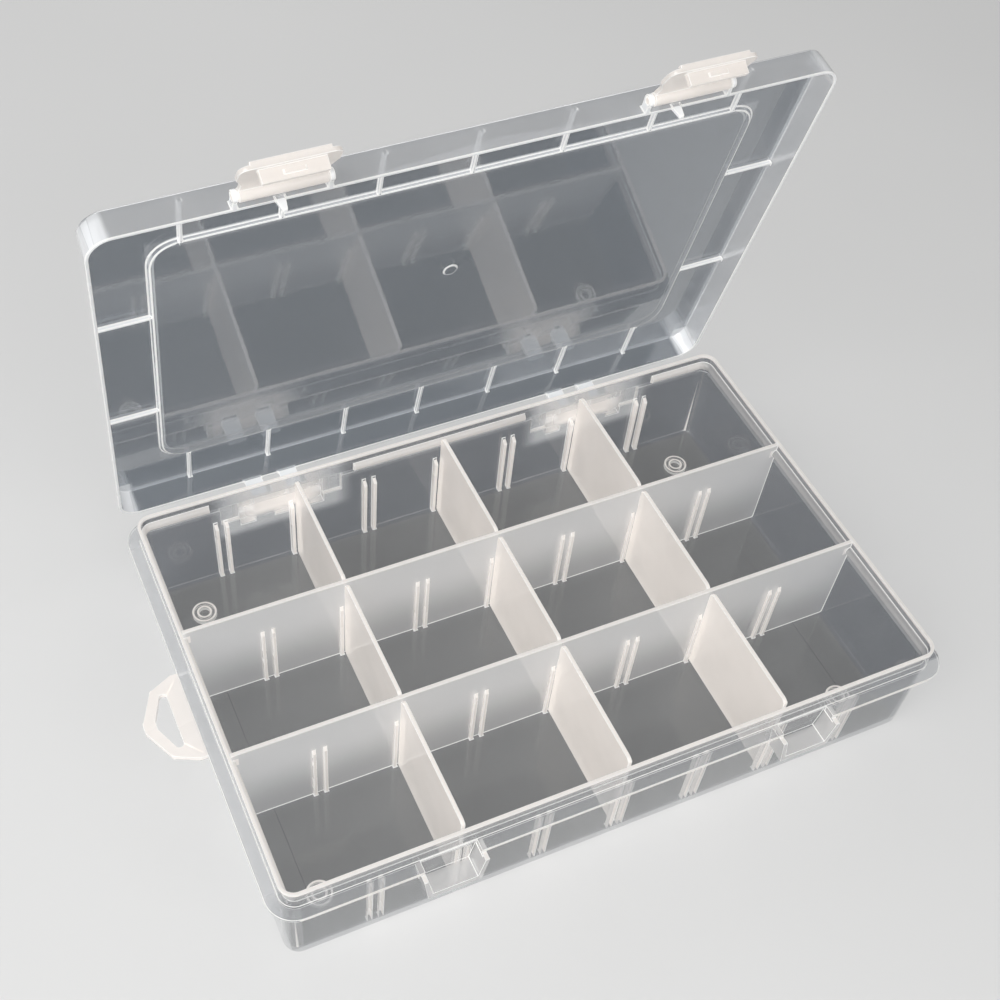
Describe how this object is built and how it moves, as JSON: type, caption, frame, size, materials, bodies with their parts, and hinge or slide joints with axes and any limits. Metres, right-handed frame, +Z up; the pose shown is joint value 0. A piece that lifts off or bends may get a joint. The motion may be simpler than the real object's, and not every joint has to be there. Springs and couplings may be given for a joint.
{
  "type": "compartment organizer box",
  "caption": "Translucent plastic organizer box with lift-out dividers, a hinged lid, snap latches and a hanging loop, lid open.",
  "frame": {"origin": "middle of the tray's flat underside", "axes": "+Z up, X along the long side with the hanging loop at -X, +Y towards the hinges, the latches at -Y when shut"},
  "size_m": [0.2931, 0.2084, 0.2332],
  "materials": {
    "clear": "clear polypropylene with a faint haze",
    "frosted": "milky polypropylene",
    "latch": "milky polypropylene, thicker"
  },
  "bodies": {
    "box": {"tray": "clear"},
    "lid": {"lid": "clear"},
    "latch_left": {"latch_left": "latch"},
    "latch_right": {"latch_right": "latch"},
    "divider_r1_c1": {"divider_r1_c1": "frosted"},
    "divider_r1_c2": {"divider_r1_c2": "frosted"},
    "divider_r1_c3": {"divider_r1_c3": "frosted"},
    "divider_r2_c1": {"divider_r2_c1": "frosted"},
    "divider_r2_c2": {"divider_r2_c2": "frosted"},
    "divider_r2_c3": {"divider_r2_c3": "frosted"},
    "divider_r3_c1": {"divider_r3_c1": "frosted"},
    "divider_r3_c2": {"divider_r3_c2": "frosted"},
    "divider_r3_c3": {"divider_r3_c3": "frosted"}
  },
  "joints": [
    {"name": "lid_hinge", "type": "hinge", "parent": "box", "child": "lid", "pos_m": [0, 0.0915, 0.0304], "axis": [-1, 0, 0], "range_deg": [-77, 103]},
    {"name": "latch_left_pivot", "type": "hinge", "parent": "lid", "child": "latch_left", "pos_m": [-0.0724, 0.06174, 0.21488], "axis": [-1, 0, 0], "range_deg": [-68, 60]},
    {"name": "latch_right_pivot", "type": "hinge", "parent": "lid", "child": "latch_right", "pos_m": [0.0724, 0.06174, 0.21488], "axis": [-1, 0, 0], "range_deg": [-68, 60]},
    {"name": "divider_r1_c1_lift", "type": "slide", "parent": "box", "child": "divider_r1_c1", "axis": [0, 0, 1], "range_m": [0, 0.052]},
    {"name": "divider_r1_c2_lift", "type": "slide", "parent": "box", "child": "divider_r1_c2", "axis": [0, 0, 1], "range_m": [0, 0.052]},
    {"name": "divider_r1_c3_lift", "type": "slide", "parent": "box", "child": "divider_r1_c3", "axis": [0, 0, 1], "range_m": [0, 0.052]},
    {"name": "divider_r2_c1_lift", "type": "slide", "parent": "box", "child": "divider_r2_c1", "axis": [0, 0, 1], "range_m": [0, 0.052]},
    {"name": "divider_r2_c2_lift", "type": "slide", "parent": "box", "child": "divider_r2_c2", "axis": [0, 0, 1], "range_m": [0, 0.052]},
    {"name": "divider_r2_c3_lift", "type": "slide", "parent": "box", "child": "divider_r2_c3", "axis": [0, 0, 1], "range_m": [0, 0.052]},
    {"name": "divider_r3_c1_lift", "type": "slide", "parent": "box", "child": "divider_r3_c1", "axis": [0, 0, 1], "range_m": [0, 0.052]},
    {"name": "divider_r3_c2_lift", "type": "slide", "parent": "box", "child": "divider_r3_c2", "axis": [0, 0, 1], "range_m": [0, 0.052]},
    {"name": "divider_r3_c3_lift", "type": "slide", "parent": "box", "child": "divider_r3_c3", "axis": [0, 0, 1], "range_m": [0, 0.052]}
  ]
}
